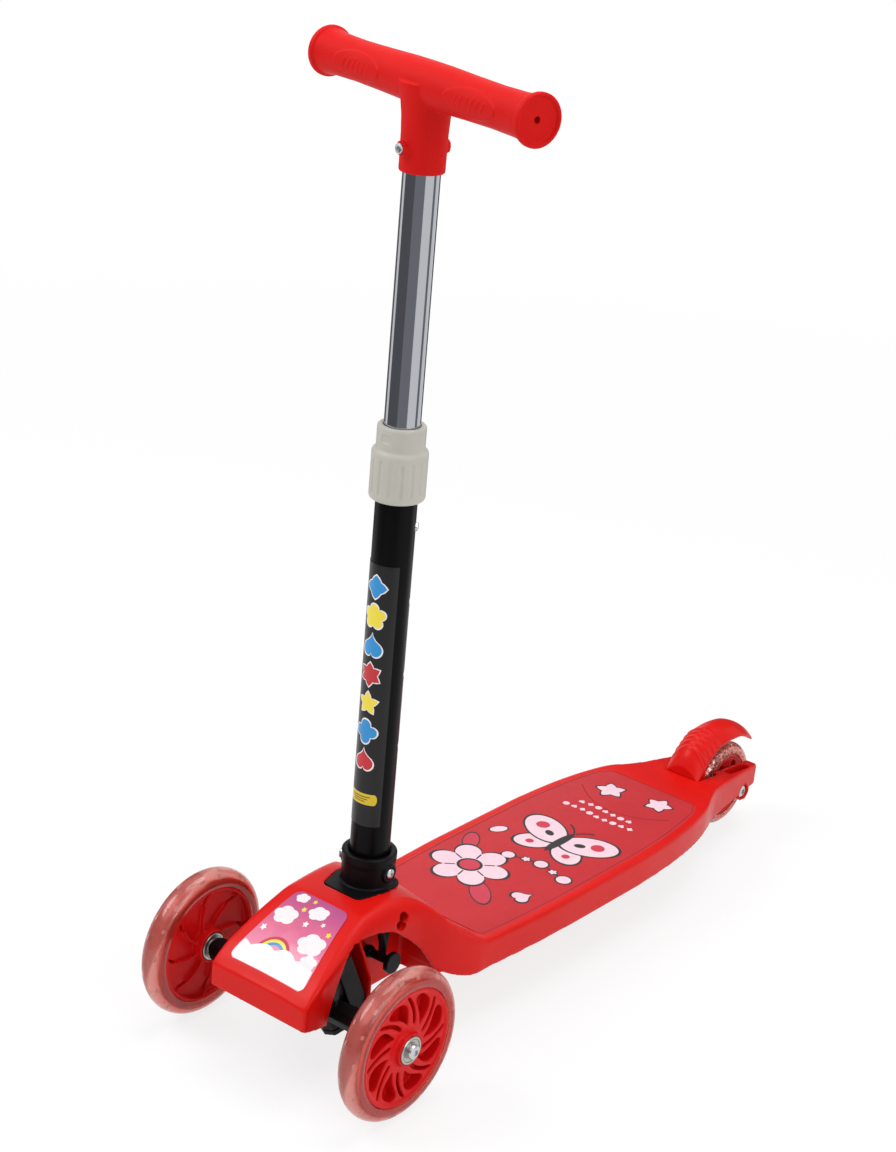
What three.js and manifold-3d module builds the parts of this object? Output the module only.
// Three wheel kids scooter that steers by leaning: two wheels in front, one behind.
// Millimetres, +Z up. The nose points to -Y and the rider's left side is +X.
// Shapes are worked out with the front axle line at y = 0 and the ground at z = 0.
// The last group then moves the whole scooter so that the origin is below its middle.

import * as THREE from 'three';
import { mergeVertices } from 'three/addons/utils/BufferGeometryUtils.js';
import Module from 'manifold-3d';

const wasm = await Module();
wasm.setup();

// Driving dimensions of the whole scooter
const wheelbase = 580;
const frontWheelRadius = 60;
const rearWheelRadius = 40;
const trackHalf = 100;
const barHeight = 733.4;
const barHalfLength = 123;
const seatGap = 0.3;
const runningGap = 0.5;
const cutPast = 2;

// Deck and nose moulding
const noseReach = 44;
const noseLength = 194;
const noseHalfWidth = 48;
const humpRise = 69;
const deckHalfWidth = 71.5;
const deckRise = 12.5;
const deckDepth = 26.5;
const shellWall = 3;
const forkReach = 24;
const solidTail = 104;
const ribWall = 2.4;
const ribDrop = 20;
const ribPitch = 73;
const ribSpread = 33;
const ribStart = 10;
const humpRibDepth = 7;
const humpRibX = 24;
const stemBossRadius = 24;
const stemBossFloor = 4;
const bulkheadBehind = 27;
const kidneyRadius = 3.6;
const kidneyLength = 7;
const kidneyRise = 53;
const kidneyAhead = 10;

// Arch over each front wheel, and the lower edge of the moulding
const archStart = -18;
const archLength = 156;
const archRise = 68;
const rimHeight = 46;
const noseEdgeHeight = 63.5;
const tailEdgeHeight = 39.5;
const tailEdgeStart = 104;
const tailEdgeRun = 20;

// Mat, nose label and stem label
const matThickness = 1.2;
const matInset = 5.5;
const matAhead = 108;
const labelThickness = 0.5;
const labelFrontHalf = 37.5;
const labelBackHalf = 25.5;
const labelFrontY = -37.5;
const labelBackY = 25.5;
const labelCorner = 6;
const stemLabelTop = 389.5;
const stemLabelBottom = 179.4;
const stemLabelAngle = 126;
const labelSegments = 8;

// Front wheel
const tyreWidth = 20.4;
const tyreRounding = 9.8;
const tyreEdgeHalf = 9.5;
const rimRadius = 47.35;
const rimWidth = 18.2;
const rimLip = 3.4;
const discSink = 0.9;
const innerDish = 4;
const bandRadius = 52;
const bandHalf = 6.5;
const bossRadius = 13;
const bossFace = 0.5;
const faceProud = 4.3;
const pocketCount = 8;
const pocketDepth = 5.5;
const pocketInner = 18;
const pocketOuter = 42.5;
const pocketWidth = 15;
const pocketSwirl = 36;
const slotWidth = 3.6;
const slotInner = 18.5;
const slotOuter = 43;

// Lights in the front tyres
const lampCount = 5;
const lampWidth = 5;
const lampDepth = 3.6;
const ringThickness = 0.8;
const ringHalf = 3;

// Bearings, sleeves and axle bolts
const bearingRadius = 11;
const bearingBore = 4;
const bearingWidth = 7;
const bearingRim = 1.8;
const shieldSink = 0.6;
const hubShoulder = 8.6;
const spacerRadius = 6;
const axleRadius = 4;
const axleHeadRadius = 5.8;
const axleHeadHeight = 3.8;
const axleBoltReach = 40;
const socketKeyRadius = 2.6;
const headShoulderShare = 0.45;
const headCrownShare = 0.66;
const armEndStep = 2.6;

// Rear wheel and fork
const rearTyreHalf = 9;
const rearTyreRounding = 8.6;
const rearTyreEdgeHalf = 8.2;
const rearRimRadius = 29;
const rearRimHalf = 7.8;
const rearHubHalf = 9.4;
const rearBandRadius = 33;
const rearBandHalf = 4.6;
const rearHoleCount = 6;
const rearHoleRadius = 4.2;
const rearHoleCircle = 20;
const forkSlotHalf = 12.2;
const forkSlotAhead = 47;
const rearBossRadius = 8.6;
const rearBossHalf = 28.4;
const rearRecessRadius = 6.9;
const rearRecessDepth = 6;
const rearHeadRadius = 6.4;
const rearHeadHeight = 4.4;
const armPocketInner = 14.6;
const armPocketOuter = 24;
const armPocketAhead = 22;
const armPocketBehind = 12;
const armPocketRise = 11;

// Steering bridge and knuckles; the kingpins lean, with their tops to the front
const steerTilt = 26;
const kingpinX = 31;
const kingpinRadius = 4;
const kingpinHead = 6.5;
const kingpinHeadHeight = 3;
const kingpinNutHeight = 4.5;
const barrelRadius = 11;
const barrelBelow = 15.5;
const barrelAbove = 26.5;
const earThickness = 6;
const bridgeHalf = 40;
const bridgeFront = 13.5;
const bridgeBack = 30;
const bridgeCoreHalf = 20;
const bridgeWall = 5;
const armRadius = 9.5;
const armWebHalf = 5;
const steerArm = 24;
const steerArmLow = 3;
const steerArmThickness = 6;
const eyeRadius = 6;
const tiePinRadius = 2.5;
const tiePinHead = 4.2;
const tiePinHeadHeight = 1.5;
const tieBarRadius = 3;
const tieCollarRadius = 6.4;
const tieCollarX = 22.4;
const tieCollarWidth = 2;
const tongueHalf = 3;
const tongueWall = 3;
const tongueSlack = 1.6;
const springWire = 1.2;
const centringRadius = 5.2;
const centringTurns = 5;
const bridgeScrewX = 14;
const bridgeScrewPlace = 22;
const bridgeScrewSeat = 10;
const bridgeScrewRadius = 2.4;
const bridgeScrewHead = 4.6;
const bridgeScrewHeadHeight = 3;
const screwBossRadius = 6;
const screwBossLength = 12;

// Lean stops that hang from the roof of the nose
const stopY = 58;
const stopZ = 79;
const stopInner = 20;
const stopOuter = 45;
const stopBarRadius = 3.5;
const stopBallRadius = 5.2;
const stopCapRadius = 8.5;
const stopCapWidth = 4;
const stopProngX = 33;
const stopProngSpread = 10;
const stopProngRadius = 3.2;
const stopForkRise = 12;

// Stem base
const stemShare = 0.608;
const plateTopRise = 68.4;
const plateThickness = 4;
const plateFrontHalf = 17.6;
const plateBackHalf = 23.6;
const plateFront = 31;
const plateWide = 8;
const plateBack = 16;
const plateCorner = 5;
const socketRadius = 20;
const socketRise = 22;
const socketLip = 1;
const socketLipHeight = 4;
const spigotRadius = 17;
const spigotDrop = 24;
const tubeSeat = 10;
const baseBoltRise = 12;
const baseBoltRadius = 3;
const baseHeadRadius = 5.4;
const baseHeadHeight = 3.2;
const baseBossRadius = 7.5;
const baseBossReach = 2.4;
const stemBoltRadius = 3.9;
const stemBoltHead = 6.5;
const stemBoltHeadHeight = 5;
const stemBoltReach = 14;

// Stem tubes
const outerTubeRadius = 15.4;
const outerTubeWall = 1.4;
const outerTubeLength = 359.6;
const tubeSlide = 0.6;
const innerTubeWall = 1.5;
const innerTubeBottom = 385;
const innerTubeDrop = 21.4;
const travel = 175;
const holeSteps = 3;
const snapHeight = 416.4;
const snapRadius = 3.4;
const snapProud = 2;
const snapAngle = 38;
const snapFlange = 4.6;
const snapFlangeThickness = 1;
const clipWidth = 7;
const clipThickness = 0.8;
const clipLegLength = 20;
const clipSlack = 0.1;

// Clamp collar and its bush
const collarBottom = 437.6;
const collarSkirt = 37.8;
const collarNeck = 17.6;
const collarRadius = 20.6;
const collarNeckRadius = 17.8;
const collarFlutes = 16;
const collarFluteDepth = 0.9;
const fluteRadius = 2.6;
const collarTaper = 3;
const collarLid = 2;
const bushWall = 2;
const bushSplit = 2;

// T-handle
const barTurn = -15;
const barRadius = 15.6;
const barWaist = 14.4;
const flangeRadius = 18.25;
const flangeWidth = 4.6;
const flangeRound = 1.2;
const dishRadius = 14.5;
const dishDepth = 1.6;
const endHoleRadius = 2;
const endHoleDepth = 9;
const padLength = 54;
const padHeight = 17;
const padRise = 1.6;
const padForward = 0.6;
const padPlaceShare = 0.56;
const neckRadius = 16.8;
const neckReach = 59.6;
const neckFlare = 24;
const neckFlareRadius = 19.5;
const crossBoltDrop = 42.9;
const crossBossRadius = 5.4;
const crossBossReach = 19.4;
const crossHeadRadius = 3.8;
const crossHeadHeight = 2;
const crossBoltRadius = 2.4;
const crossNutHeight = 2.4;
// Swell of the grips from the flange to the middle: place and share of the full radius
const gripShares = [[0.62, 0], [0.2, 1]];

// Rear brake
const brakePivotAhead = 58;
const brakePivotRise = 21;
const brakePress = 8;
const brakeHalfWidth = 18;
const brakeWall = 3.4;
const brakeLip = 2;
const brakeLength = 103;
const brakeRise = 46;
const brakeFrontWall = 10;
const brakeRidge = 1.3;
const brakeRidges = 5;
const brakePinRadius = 2.5;
const brakePinHalf = 24;
const brakeBarrel = 5.6;
const brakeLugInner = 9.5;
const brakeSpringHalf = 7.8;
const brakeSpringWire = 1.2;
const brakeCoilRadius = 3.5;
const brakeTurns = 5;
const brakePocketDrop = 8;
const padThickness = 1.6;
const padHalfWidth = 8;
const padAhead = 3;
const padBehind = 19;
const padRibShare = 0.7;

// Plate that closes the tail from below
const tailPlateThickness = 2.4;
const tailPlateFrontHalf = 30;
const tailPlateHalf = 26;
const tailPlateAhead = 78;
const tailPlateStop = 21;
const tailScrewX = 19;
const tailScrewAhead = 34;
const tailScrewRadius = 1.8;
const tailScrewHead = 3.4;
const tailScrewHeadHeight = 1.8;
const tailScrewLength = 9;

// Sides of the round forms
const wheelSides = 28;
const hubSides = 20;
const tubeSides = 16;
const bearingSides = 10;
const pinSides = 8;
const nutSides = 6;
const wireSides = 5;
const padRings = 4;
const arcSteps = 3;
const hiddenArcSteps = 1;
const crownSteps = 4;
const coilSteps = 6;

// Places worked out from the driving dimensions
const axleZ = frontWheelRadius;
const rearAxleZ = rearWheelRadius;
const deckTop = axleZ + deckRise;
const noseEnd = noseLength - noseReach;
const tailEnd = wheelbase + forkReach;
const stemY = noseLength * stemShare - noseReach;
const plateTop = axleZ + plateTopRise;
const outerTubeBottom = plateTop - tubeSeat;
const outerTubeTop = outerTubeBottom + outerTubeLength;
const innerTubeTop = barHeight - innerTubeDrop;
const neckBottom = barHeight - neckReach;
const crossBoltHeight = barHeight - crossBoltDrop;
const innerTubeRadius = outerTubeRadius - outerTubeWall - tubeSlide;
const holePitch = travel / holeSteps;
const brakeY = wheelbase - brakePivotAhead;
const brakeZ = rearAxleZ + brakePivotRise;
const armPocketFloor = rearAxleZ + armPocketRise;

const radians = THREE.MathUtils.degToRad;
const vec = (x, y, z) => new THREE.Vector3(x, y, z);

const finish = (color, roughness, metalness) => new THREE.MeshStandardMaterial({ color, roughness, metalness });
const red = finish(0xd8251f, 0.38, 0);
const black = finish(0x151517, 0.5, 0);
const paint = finish(0x0c0c0e, 0.3, 0.2);
const chrome = finish(0xc6c9cd, 0.12, 1);
const zinc = finish(0xaeb2b6, 0.35, 1);
const steel = finish(0x8b8e92, 0.3, 1);
const ivory = finish(0xc3c3bb, 0.5, 0);
const clear = finish(0xe0b4ac, 0.2, 0);
const lampGrey = finish(0xb9bcc0, 0.4, 0.6);
const print = finish(0xe6d2e4, 0.45, 0);
const matPrint = finish(0xc9242c, 0.6, 0);

// A closed solid from a geometry, with shared corners, no empty faces and faces out
function solid(geometry) {
  const bare = geometry.index ? geometry.toNonIndexed() : geometry.clone();
  for (const name of Object.keys(bare.attributes)) {
    if (name !== 'position') bare.deleteAttribute(name);
  }
  const welded = mergeVertices(bare);
  const corners = welded.index.array;
  const faces = [];
  for (let i = 0; i < corners.length; i += 3) {
    const [a, b, c] = corners.slice(i, i + 3);
    if (a !== b && b !== c && c !== a) faces.push(a, b, c);
  }
  const vertProperties = Float32Array.from(welded.attributes.position.array);
  const closed = (list) => {
    const triVerts = Uint32Array.from(list);
    return new wasm.Manifold(new wasm.Mesh({ numProp: 3, vertProperties, triVerts }));
  };
  const body = closed(faces);
  return body.volume() < 0 ? closed(faces.reverse()) : body;
}

function geometryOf(body) {
  const mesh = body.getMesh();
  const geometry = new THREE.BufferGeometry();
  geometry.setAttribute('position', new THREE.BufferAttribute(Float32Array.from(mesh.vertProperties), 3));
  geometry.setIndex([...mesh.triVerts]);
  geometry.computeVertexNormals();
  return geometry;
}

const join = (...bodies) => bodies.flat().reduce((all, body) => all.add(body));
const cut = (body, ...tools) => tools.flat().reduce((left, tool) => left.subtract(tool), body);
const placed = (geometry, matrix) => solid(geometry.clone().applyMatrix4(matrix));

// A box between the given places, which may come in either order
function block(x0, x1, y0, y1, z0, z1, matrix = new THREE.Matrix4()) {
  const geometry = new THREE.BoxGeometry(Math.abs(x1 - x0), Math.abs(y1 - y0), Math.abs(z1 - z0));
  geometry.translate((x0 + x1) / 2, (y0 + y1) / 2, (z0 + z1) / 2);
  return placed(geometry, matrix);
}

// A round bar, or a cone where the two radii differ, from one point to another
function rod(radius, from, to, sides = tubeSides, endRadius = radius) {
  const along = to.clone().sub(from);
  const geometry = new THREE.CylinderGeometry(endRadius, radius, along.length(), sides);
  const turn = new THREE.Quaternion().setFromUnitVectors(vec(0, 1, 0), along.clone().normalize());
  const middle = from.clone().add(to).divideScalar(2);
  return placed(geometry, new THREE.Matrix4().compose(middle, turn, vec(1, 1, 1)));
}

const upright = (radius, x, y, z0, z1, sides, end) => rod(radius, vec(x, y, z0), vec(x, y, z1), sides, end);
const across = (radius, x0, x1, y, z, sides, end) => rod(radius, vec(x0, y, z), vec(x1, y, z), sides, end);

function tube(outer, inner, x, y, z0, z1) {
  return cut(upright(outer, x, y, z0, z1), upright(inner, x, y, z0 - cutPast, z1 + cutPast));
}

// The frame of the kingpins: u runs back and up, s runs up along the pins
const leanU = vec(0, Math.cos(radians(steerTilt)), Math.sin(radians(steerTilt)));
const leanS = vec(0, -Math.sin(radians(steerTilt)), Math.cos(radians(steerTilt)));
const leanFrame = new THREE.Matrix4().makeBasis(vec(1, 0, 0), leanU, leanS).setPosition(0, 0, axleZ);
const lean = (x, u, s) => vec(x, u, s).applyMatrix4(leanFrame);
const leanBlock = (x0, x1, u0, u1, s0, s1) => block(x0, x1, u0, u1, s0, s1, leanFrame);
const bridgeScrewPlaces = () => [[-bridgeScrewX, bridgeScrewPlace], [bridgeScrewX, bridgeScrewPlace]];
const tailScrewPlaces = () => [-tailScrewX, tailScrewX].map((x) => [x, wheelbase - tailScrewAhead]);

// A body turned about the X axis through a centre: profile points are (x, radius)
function wheelForm(points, centre, sides = wheelSides) {
  const profile = points.map(([x, radius]) => new THREE.Vector2(radius, x));
  const geometry = new THREE.LatheGeometry([...profile, profile[0].clone()], sides);
  const matrix = new THREE.Matrix4().makeRotationZ(-Math.PI / 2).setPosition(centre);
  return placed(geometry, matrix);
}

// A body turned about an upright axis: profile points are (radius, z)
function turned(points, x, y, sides = tubeSides) {
  const profile = points.map(([radius, z]) => new THREE.Vector2(radius, z));
  const geometry = new THREE.LatheGeometry([...profile, profile[0].clone()], sides);
  geometry.rotateX(Math.PI / 2);
  return placed(geometry, new THREE.Matrix4().makeTranslation(x, y, 0));
}

// An outline in the (y, z) plane, pushed from x0 to x1
function sidePlate(outline, x0, x1) {
  const shape = new THREE.Shape(outline.map(([y, z]) => new THREE.Vector2(y, z)));
  const geometry = new THREE.ExtrudeGeometry(shape, { depth: x1 - x0, bevelEnabled: false });
  geometry.translate(0, 0, x0);
  return placed(geometry, new THREE.Matrix4().makeBasis(vec(0, 1, 0), vec(0, 0, 1), vec(1, 0, 0)));
}

// A shape in the (x, y) plane, pushed from z0 to z1
function plan(shape, z0, z1) {
  const options = { depth: z1 - z0, bevelEnabled: false, curveSegments: arcSteps };
  const geometry = new THREE.ExtrudeGeometry(shape, options);
  geometry.translate(0, 0, z0);
  return solid(geometry);
}

// A plan shape through the given corners, each rounded over the same length
function roundedPlan(corners, length) {
  const shape = new THREE.Shape();
  corners.forEach((corner, i) => {
    const toward = (other) => {
      const way = new THREE.Vector2(other[0] - corner[0], other[1] - corner[1]);
      return way.setLength(length).add(new THREE.Vector2(...corner));
    };
    const start = toward(corners[(i + corners.length - 1) % corners.length]);
    const end = toward(corners[(i + 1) % corners.length]);
    if (i === 0) shape.moveTo(start.x, start.y);
    else shape.lineTo(start.x, start.y);
    shape.quadraticCurveTo(corner[0], corner[1], end.x, end.y);
  });
  shape.closePath();
  return shape;
}

// A wire of round section along a list of points
function wire(points, thickness) {
  const corners = Array.from({ length: wireSides }, (_, i) => (i / wireSides) * 2 * Math.PI);
  const section = new THREE.Shape(corners.map((angle) => {
    return new THREE.Vector2(Math.cos(angle), Math.sin(angle)).multiplyScalar(thickness / 2);
  }));
  const extrudePath = new THREE.CatmullRomCurve3(points);
  const options = { steps: points.length - 1, extrudePath, bevelEnabled: false };
  return solid(new THREE.ExtrudeGeometry(section, options));
}

// The points of a coil about the X axis
function coilPoints(radius, x0, x1, turns, start) {
  const points = [];
  for (let i = 0; i <= turns * coilSteps; i += 1) {
    const angle = start + (i / coilSteps) * 2 * Math.PI;
    const x = x0 + ((x1 - x0) * i) / (turns * coilSteps);
    points.push(vec(x, radius * Math.cos(angle), radius * Math.sin(angle)));
  }
  return points;
}

// The least room between the turns of a coil, measured on the points of its middle line
function turnGap(points, thickness) {
  let least = Infinity;
  points.forEach((point, i) => {
    points.slice(i + coilSteps / 2).forEach((other) => {
      least = Math.min(least, point.distanceTo(other));
    });
  });
  return least - thickness;
}

// The value of one column of a table at a place between its rows
function follow(rows, place, column) {
  const last = rows.length - 1;
  if (place <= rows[0][0]) return rows[0][column];
  if (place >= rows[last][0]) return rows[last][column];
  const i = rows.findIndex((row) => row[0] > place);
  const t = (place - rows[i - 1][0]) / (rows[i][0] - rows[i - 1][0]);
  return rows[i - 1][column] + (rows[i][column] - rows[i - 1][column]) * t;
}

// A solid skinned over closed rings that all have the same number of points
function loft(rings) {
  const count = rings[0].length;
  const index = [];
  for (let r = 0; r + 1 < rings.length; r += 1) {
    for (let i = 0; i < count; i += 1) {
      const j = (i + 1) % count;
      const near = r * count;
      const far = near + count;
      index.push(near + i, near + j, far + i, near + j, far + j, far + i);
    }
  }
  const cap = (ring, base, flip) => {
    const outline = ring.map((point) => new THREE.Vector2(point.x, point.z));
    const clockwise = THREE.ShapeUtils.area(outline) < 0;
    for (const [a, b, c] of THREE.ShapeUtils.triangulateShape(outline, [])) {
      if (flip === clockwise) index.push(base + a, base + b, base + c);
      else index.push(base + a, base + c, base + b);
    }
  };
  cap(rings[0], 0, true);
  cap(rings[rings.length - 1], (rings.length - 1) * count, false);
  const geometry = new THREE.BufferGeometry();
  const places = rings.flat().flatMap((point) => point.toArray());
  geometry.setAttribute('position', new THREE.Float32BufferAttribute(places, 3));
  geometry.setIndex(index);
  return solid(geometry);
}

const scooter = new THREE.Group();
scooter.name = 'scooter';
scooter.position.set(0, (frontWheelRadius - rearWheelRadius - wheelbase) / 2, 0);

function add(name, body, material) {
  const mesh = new THREE.Mesh(geometryOf(body), material);
  mesh.name = name;
  scooter.add(mesh);
}

// Deck and nose: one moulding. Each row gives a place along the nose, the half widths of
// its top and side, and the heights of its crown, top edge and shoulder over the axle.
const noseShares = [
  [0.0, 0.95, 0.97, 0.33, 0.3, 0.2],
  [0.012, 0.98, 1.0, 0.36, 0.34, 0.25],
  [0.035, 0.95, 1.0, 0.43, 0.41, 0.33],
  [0.08, 0.915, 1.0, 0.53, 0.51, 0.43],
  [0.124, 0.875, 0.98, 0.61, 0.59, 0.5],
  [0.227, 0.77, 0.958, 0.783, 0.765, 0.61],
  [0.304, 0.71, 0.945, 0.895, 0.875, 0.66],
  [0.381, 0.667, 0.937, 0.972, 0.955, 0.69],
  [0.536, 0.65, 0.965, 1.0, 0.985, 0.69],
  [0.59, 0.69, 0.985, 0.997, 0.97, 0.66],
  [0.65, 0.79, 1.02, 0.965, 0.92, 0.59],
  [0.7, 0.96, 1.09, 0.91, 0.82, 0.5],
  [0.75, 1.09, 1.17, 0.81, 0.69, 0.41],
  [0.8, 1.18, 1.235, 0.66, 0.54, 0.33],
  [0.9, 1.29, 1.33, 0.35, 0.31, 0.2],
  [0.95, 1.335, 1.365, 0.24, 0.225, 0.15],
];
// Each row gives a place along the deck, its half width and the drop of its top
const deckShares = [
  [0.0, 0.93, 0],
  [0.11, 0.975, 0],
  [0.22, 0.998, 0],
  [0.44, 1.0, 0],
  [0.55, 0.965, 0],
  [0.617, 0.915, 0],
  [0.665, 0.858, 0],
  [0.708, 0.785, 0],
  [0.764, 0.625, 0.07],
  [0.8, 0.54, 0.1],
  [0.921, 0.41, 0.34],
  [1.0, 0.34, 0.48],
];
const crownMidShare = 0.55;
const crownDropShare = 0.3;
const deckEdgeShare = 0.022;
const deckShoulderShare = 0.12;
const footShare = 0.955;

// Half of a section runs from the crown over a rounded shoulder to the foot
function section(y, top, side, crownZ, edgeZ, shoulderZ, footX, footZ, steps) {
  const half = [[top * crownMidShare, crownZ + (edgeZ - crownZ) * crownDropShare]];
  for (let i = 0; i <= steps; i += 1) {
    const angle = (i / steps) * (Math.PI / 2);
    const x = top + (side - top) * Math.sin(angle);
    half.push([x, shoulderZ + (edgeZ - shoulderZ) * Math.cos(angle)]);
  }
  half.push([footX, footZ]);
  const right = half.map(([x, z]) => vec(x, y, z));
  const left = half.reverse().map(([x, z]) => vec(-x, y, z));
  return [vec(0, y, crownZ), ...right, ...left];
}

function noseSection([along, top, side, crown, edge, shoulder], inset, footZ, steps) {
  const height = (share) => axleZ + humpRise * share - inset;
  const sideX = noseHalfWidth * side - inset;
  const topX = noseHalfWidth * top - inset;
  const y = noseLength * along - noseReach;
  return section(y, topX, sideX, height(crown), height(edge), height(shoulder), sideX, footZ, steps);
}

function deckSection([along, width, drop], inset, footZ, steps) {
  const y = noseEnd + (tailEnd - noseEnd) * along;
  const z = deckTop - deckDepth * drop - inset;
  const sideX = deckHalfWidth * width - inset;
  const topX = sideX - deckHalfWidth * deckEdgeShare;
  const footX = deckHalfWidth * width * footShare - inset;
  return section(y, topX, sideX, z, z, z - deckDepth * deckShoulderShare, footX, footZ, steps);
}

// The moulding between two places, its sections moved inwards by the inset. Its hidden
// faces need only every other section and fewer steps round the shoulder.
function moulding(inset, footZ, from, to) {
  const hidden = inset > 0;
  const steps = hidden ? hiddenArcSteps : arcSteps;
  const kept = (shares) => shares.filter((row, i) => !hidden || i % 2 === 0);
  const all = [
    ...kept(noseShares).map((row) => noseSection(row, inset, footZ, steps)),
    ...kept(deckShares).map((row) => deckSection(row, inset, footZ, steps)),
  ];
  const at = (y) => {
    const i = all.findIndex((ring) => ring[0].y >= y);
    if (i <= 0) return all[0].map((p) => vec(p.x, y, p.z));
    const t = (y - all[i - 1][0].y) / (all[i][0].y - all[i - 1][0].y);
    return all[i - 1].map((p, k) => p.clone().lerp(all[i][k], t));
  };
  const inside = all.filter((ring) => ring[0].y > from + seatGap && ring[0].y < to - seatGap);
  return loft([at(from), ...inside, at(to)]);
}

// Side outline of the wheel arch, as shares of its length and rise
const archShares = [
  [0, 0.176], [0.016, 0.324], [0.058, 0.588], [0.115, 0.838], [0.155, 0.93], [0.192, 0.975],
  [0.244, 1.0], [0.34, 0.985], [0.455, 0.919], [0.551, 0.765], [0.641, 0.588], [0.692, 0.426],
  [0.737, 0.265], [0.795, 0.162], [0.872, 0.074], [0.949, 0.015], [1.0, 0],
];

// What is cut away below the moulding: under the nose, in the arches and under the tail
function underCut() {
  const half = deckHalfWidth + cutPast;
  const arch = archShares.map(([along, up]) => [archStart + archLength * along, rimHeight + archRise * up]);
  const tail = wheelbase - tailEdgeStart;
  return sidePlate([
    [-noseReach - cutPast, -cutPast],
    [tailEnd + cutPast, -cutPast],
    [tailEnd + cutPast, tailEdgeHeight],
    [tail + tailEdgeRun, tailEdgeHeight],
    [tail, rimHeight],
    ...arch.reverse(),
    [-noseReach - cutPast, noseEdgeHeight],
  ], -half, half);
}

// Ribs under the deck, a bulkhead behind the stem and two ribs under the nose roof
function mouldingRibs(core, inner) {
  const floor = deckTop - ribDrop;
  const tailWall = tailEnd - solidTail;
  const half = deckHalfWidth;
  const ribs = [-ribSpread, 0, ribSpread].map((x) => {
    return block(x - ribWall / 2, x + ribWall / 2, noseEnd, tailWall + cutPast, floor, deckTop);
  });
  for (let y = noseEnd + ribStart; y < tailWall - ribPitch / 2; y += ribPitch) {
    ribs.push(block(-half, half, y, y + ribWall, floor, deckTop));
  }
  const bulkhead = stemY + bulkheadBehind;
  ribs.push(block(-half, half, bulkhead, bulkhead + ribWall, rimHeight + ribWall, plateTop));
  const deep = moulding(shellWall + humpRibDepth, -cutPast, -noseReach, bulkhead);
  const roof = inner.subtract(deep);
  for (const x of [-humpRibX, humpRibX]) {
    const strip = block(x - ribWall / 2, x + ribWall / 2, archStart, stemY, axleZ, plateTop);
    ribs.push(strip.intersect(roof));
  }
  return join(ribs).intersect(core);
}

const stemPlateCorners = (grow) => [
  [-plateFrontHalf - grow, stemY - plateFront - grow],
  [plateFrontHalf + grow, stemY - plateFront - grow],
  [plateBackHalf + grow, stemY - plateWide],
  [socketRadius + grow, stemY + plateBack + grow],
  [-socketRadius - grow, stemY + plateBack + grow],
  [-plateBackHalf - grow, stemY - plateWide],
];

// The mat follows the deck's outline, drawn in by its inset
function matPlan(inset) {
  const length = tailEnd - noseEnd;
  const end = wheelbase - matAhead - inset;
  const start = noseEnd + inset - matInset;
  const along = [start, end].map((y) => (y - noseEnd) / length);
  const rows = deckShares.filter(([share]) => share > along[0] && share < along[1] - deckEdgeShare);
  const places = [along[0], ...rows.map(([share]) => share), along[1]];
  const side = places.map((share) => {
    const half = deckHalfWidth * (follow(deckShares, share, 1) - deckEdgeShare) - inset;
    return [half, noseEnd + length * share];
  });
  const outline = [...side, ...side.map(([x, y]) => [-x, y]).reverse()];
  return new THREE.Shape(outline.map(([x, y]) => new THREE.Vector2(x, y)));
}

const labelPlan = (grow) => roundedPlan([
  [-labelFrontHalf - grow, labelFrontY - grow],
  [labelFrontHalf + grow, labelFrontY - grow],
  [labelBackHalf + grow, labelBackY + grow],
  [-labelBackHalf - grow, labelBackY + grow],
], labelCorner);

// Bosses inside the nose: one for the stem, four for the screws of the steering bridge
function noseBosses(core) {
  const floor = plateTop - plateThickness - spigotDrop - seatGap - stemBossFloor;
  const bosses = [upright(stemBossRadius, 0, stemY, floor, plateTop)];
  for (const [x, u] of bridgeScrewPlaces()) {
    const foot = barrelAbove + earThickness + 2 * seatGap;
    bosses.push(rod(screwBossRadius, lean(x, u, foot), lean(x, u, foot + screwBossLength + cutPast), pinSides));
  }
  return join(bosses).intersect(core);
}

function noseBores() {
  const top = plateTop + cutPast;
  const bottom = plateTop - plateThickness - spigotDrop - seatGap;
  const bores = [
    upright(spigotRadius + seatGap, 0, stemY, bottom, top),
    upright(stemBoltRadius + seatGap, 0, stemY, bottom - stemBossFloor - cutPast, top, pinSides),
    plan(roundedPlan(stemPlateCorners(seatGap), plateCorner), plateTop - plateThickness - seatGap, top + humpRise),
  ];
  for (const [x, u] of bridgeScrewPlaces()) {
    const foot = barrelAbove + earThickness;
    bores.push(rod(bridgeScrewRadius + seatGap, lean(x, u, foot), lean(x, u, foot + screwBossLength), pinSides));
  }
  return bores;
}

// A round-ended slot through each side wall of the nose
function kidneys() {
  const y = stemY - kidneyAhead;
  const z = axleZ + kidneyRise;
  return [-1, 1].flatMap((side) => [-1, 1].map((end) => {
    const offset = (end * kidneyLength) / 2;
    return across(kidneyRadius, side * humpRibX + side * ribWall, side * deckHalfWidth, y + offset, z + offset / 2, nutSides);
  }));
}

// The fork of the tail: slot for the wheel, pocket for the brake, bosses and recesses
function tailBosses() {
  return across(rearBossRadius, -rearBossHalf, rearBossHalf, wheelbase, rearAxleZ);
}

function axleSeats() {
  return [-1, 1].map((side) => {
    return across(spacerRadius, side * (rearHubHalf + seatGap), side * (forkSlotHalf + cutPast), wheelbase, rearAxleZ);
  });
}

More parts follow.
